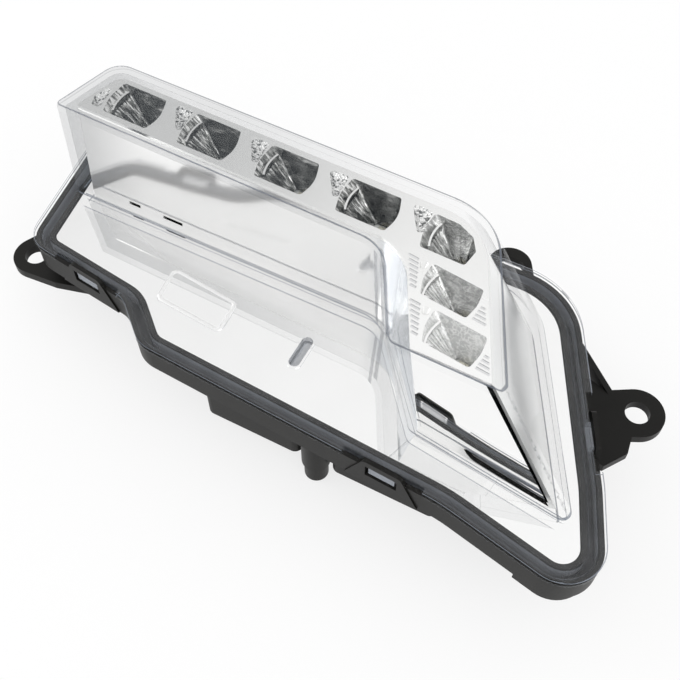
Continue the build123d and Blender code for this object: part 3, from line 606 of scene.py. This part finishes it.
looks = {
    "rear_housing": housing, "rear_cover": housing, "outer_lens": lens, "lens_seal": seal, "cover_seal": seal,
    "bezel": trim, "side_trim": side, "reflector": reflector,
    "led_board_row": board_white, "led_board_leg": board_white, "driver_board": board_green,
    "heat_sink": aluminium, "board_screws": steel, "driver_screws": steel, "cover_screws": steel,
    "board_link": copper, "connector_pins": brass, "driver_chip": component, "driver_coil": ferrite,
    "driver_capacitors": can, "ribbon_socket_top": socket, "ribbon_socket_bottom": socket,
    "led_ribbon": ribbon, "vent_cap": rubber, "vent_membrane": membrane,
}
for name, node in nodes.items():
    material = emitter if name.startswith(("led_row", "led_leg")) else looks[name]
    for place in node.material_slots:
        place.material = material


# Small pieces

def piece(name, vertices, faces, material, smooth=False):
    mesh = bpy.data.meshes.new(name)
    mesh.from_pydata(vertices, [], faces)
    mesh.update()
    mesh.materials.append(material)
    for polygon in mesh.polygons:
        polygon.use_smooth = smooth
    made = bpy.data.objects.new(name, mesh)
    scene.collection.objects.link(made)
    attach(made, "root")


def rounded_loop(corners, radius, steps):
    """Closed outline with round corners."""
    points = []
    count = len(corners)
    for index, corner in enumerate(corners):
        here = Vector(corner)
        to_last = (Vector(corners[index - 1]) - here).normalized()
        to_next = (Vector(corners[(index + 1) % count]) - here).normalized()
        half = to_last.angle(to_next) / 2
        reach = radius / math.tan(half)
        centre = here + (to_last + to_next).normalized() * radius / math.sin(half)
        start, end = here + to_last * reach - centre, here + to_next * reach - centre
        swing = math.atan2(start.x * end.y - start.y * end.x, start.dot(end))
        for step in range(steps + 1):
            points.append(centre + Matrix.Rotation(swing * step / steps, 2) @ start)
    return points


def make_pad_edge():
    """Rounded step round the pad on the panel."""
    path = rounded_loop(PAD_CORNERS, PAD_RADIUS, PAD_STEPS)
    count, width = len(path), len(PAD_SECTION)
    vertices, faces = [], []
    for index, point in enumerate(path):
        after = (index + 1) % count
        run = (path[after] - path[index - 1]).normalized()
        out = Vector((run.y, -run.x))
        for shift, rise in PAD_SECTION:
            place = point + out * shift
            vertices.append((place.x, place.y, PANEL_LEVEL + rise))
        for step in range(width - 1):
            a, b = index * width + step, after * width + step
            faces.append((a, b, b + 1, a + 1))
    piece("pad_edge", vertices, faces, pad_bright, smooth=True)


def rib_spans(across):
    """Ends of the two ribs at one place across the leg, left and right of the lamp."""
    wing = RIB_WING_CORNER[0] + (RIB_WING_CORNER[1] - across) * RIB_WING_SLOPE
    left = (RIB_LEFT_LINE[0] + RIB_LEFT_LINE[1] * across, wing - RIB_WING_GAP)
    right = (RIB_RIGHT_START, RIB_RIGHT_LINE[0] + RIB_RIGHT_LINE[1] * across)
    return [span for span in (left, right) if span[1] - span[0] >= RIB_SHORTEST]


def make_leg_ribs():
    """Low ribs on the reflector's face, either side of the two lamps of the leg."""
    turn = Matrix.Rotation(LEG_TURN, 2)
    vertices, faces = [], []
    for cell in range(2):
        start = Vector(LEG_START[:2]) + turn @ (Vector(LEG_STEP) * cell)
        for index in range(RIB_COUNT):
            across = RIB_FIRST - RIB_PITCH * index
            for left, right in rib_spans(across):
                base = len(vertices)
                for along, bevel in ((left, RIB_BEVEL), (right, -RIB_BEVEL)):
                    for inset, shift, rise in (
                            (0.0, -RIB_HALF, 0.0), (0.0, RIB_HALF, 0.0), (bevel, 0.0, RIB_RISE)):
                        place = start + turn @ Vector((along + inset, across + shift))
                        vertices.append((place.x, place.y, FACE_LEVEL - RIB_SINK + rise))
                faces += [tuple(base + corner for corner in face) for face in RIB_FACES]
    piece("leg_ribs", vertices, faces, polished)


def make_slot_cup():
    """Blind end of the slot in the panel."""
    half_width, half_straight = SLOT_SIZE[0] / 2, (SLOT_SIZE[1] - SLOT_SIZE[0]) / 2
    vertices, faces = [], []
    for grow, level in SLOT_RINGS:
        radius = half_width + grow
        for end, begin in ((1, 0.0), (-1, math.pi)):
            for step in range(SLOT_STEPS + 1):
                angle = math.pi * step / SLOT_STEPS + begin
                local = Vector((radius * math.cos(angle), radius * math.sin(angle) + end * half_straight))
                place = Vector(SLOT_PLACE) + local
                vertices.append((place.x, place.y, PANEL_LEVEL + level))
    count = 2 * (SLOT_STEPS + 1)
    last = len(SLOT_RINGS) - 1
    for ring in range(last):
        a, b = ring * count, (ring + 1) * count
        for index in range(count):
            after = (index + 1) % count
            faces.append((a + after, b + after, b + index, a + index))
    faces.append(tuple(last * count + index for index in range(count)))
    piece("slot_cup", vertices, faces, cup_grey, smooth=True)


make_pad_edge()
make_leg_ribs()
make_slot_cup()


# Floor

def make_floor():
    """White paper, brighter where it is seen, directly or in a reflection, than as a source of light."""
    mesh = bpy.data.meshes.new("floor")
    corners = [(-FLOOR_HALF, -FLOOR_HALF, 0), (FLOOR_HALF, -FLOOR_HALF, 0),
               (FLOOR_HALF, FLOOR_HALF, 0), (-FLOOR_HALF, FLOOR_HALF, 0)]
    mesh.from_pydata(corners, [], [(0, 1, 2, 3)])
    floor = bpy.data.objects.new("floor", mesh)
    scene.collection.objects.link(floor)
    material, g, shader = new_material("floor_paper")
    g.feed(shader.inputs["Base Color"], grey(FLOOR_WHITE))
    g.feed(shader.inputs["Roughness"], FLOOR_ROUGH)
    g.feed(shader.inputs["Specular IOR Level"], FLOOR_SHINE)
    path = g.add("ShaderNodeLightPath").outputs
    seen = g.larger(path["Is Camera Ray"], g.larger(path["Is Glossy Ray"], path["Is Transmission Ray"]))
    glow = g.add("ShaderNodeEmission")
    g.feed(glow.inputs["Color"], grey(1.0))
    g.feed(glow.inputs["Strength"], 1.0)
    mix = g.add("ShaderNodeMixShader")
    g.feed(mix.inputs["Fac"], g.times(seen, FLOOR_GLOW))
    g.feed(mix.inputs[1], shader.outputs["BSDF"])
    g.feed(mix.inputs[2], glow.outputs["Emission"])
    g.feed(g.nodes["Material Output"].inputs["Surface"], mix.outputs["Shader"])
    mesh.materials.append(material)


make_floor()


# Soft studio light

def make_world():
    world = bpy.data.worlds.new("studio")
    world.use_nodes = True
    g = Graph(world.node_tree)
    along, _, height = g.apart(g.add("ShaderNodeTexCoord").outputs["Generated"])
    left_colour = g.mixed(height, SKY_LEFT_LOW, SKY_LEFT_HIGH)
    colour = g.mixed(g.step_up(along, *SKY_LEFT), left_colour, g.grey_ramp(height, SKY_STOPS))
    background = g.nodes["Background"]
    g.feed(background.inputs["Color"], colour)
    g.feed(background.inputs["Strength"], 1.0)
    scene.world = world


def make_lamp(name, place, width, power):
    data = bpy.data.lights.new(name, "AREA")
    data.shape = "RECTANGLE"
    data.size = data.size_y = width
    data.energy = power
    light = bpy.data.objects.new(name, data)
    light.location = place
    aim = Vector(LAMP_AIM) - Vector(place)
    light.rotation_euler = aim.to_track_quat("-Z", "Y").to_euler()
    scene.collection.objects.link(light)


make_world()
for lamp in LAMPS:
    make_lamp(*lamp)


# Camera

def make_camera():
    turn, drop = math.radians(CAMERA_TURN), math.radians(CAMERA_DROP)
    right = Vector((math.cos(turn), math.sin(turn), 0.0))
    ahead = Vector((-math.sin(turn) * math.cos(drop), math.cos(turn) * math.cos(drop), -math.sin(drop)))
    up = right.cross(ahead)
    data = bpy.data.cameras.new("camera")
    data.lens = CAMERA_LENS
    data.sensor_width = CAMERA_SENSOR
    data.clip_start = CAMERA_NEAR
    camera = bpy.data.objects.new("camera", data)
    place = Matrix((right, up, -ahead)).transposed().to_4x4()
    place.translation = Vector(CAMERA_PLACE) / MM_PER_METRE
    camera.matrix_world = place
    scene.collection.objects.link(camera)
    scene.camera = camera


make_camera()
scene.view_settings.view_transform = "Standard"
scene.cycles.transparent_max_bounces = CLEAR_BOUNCES
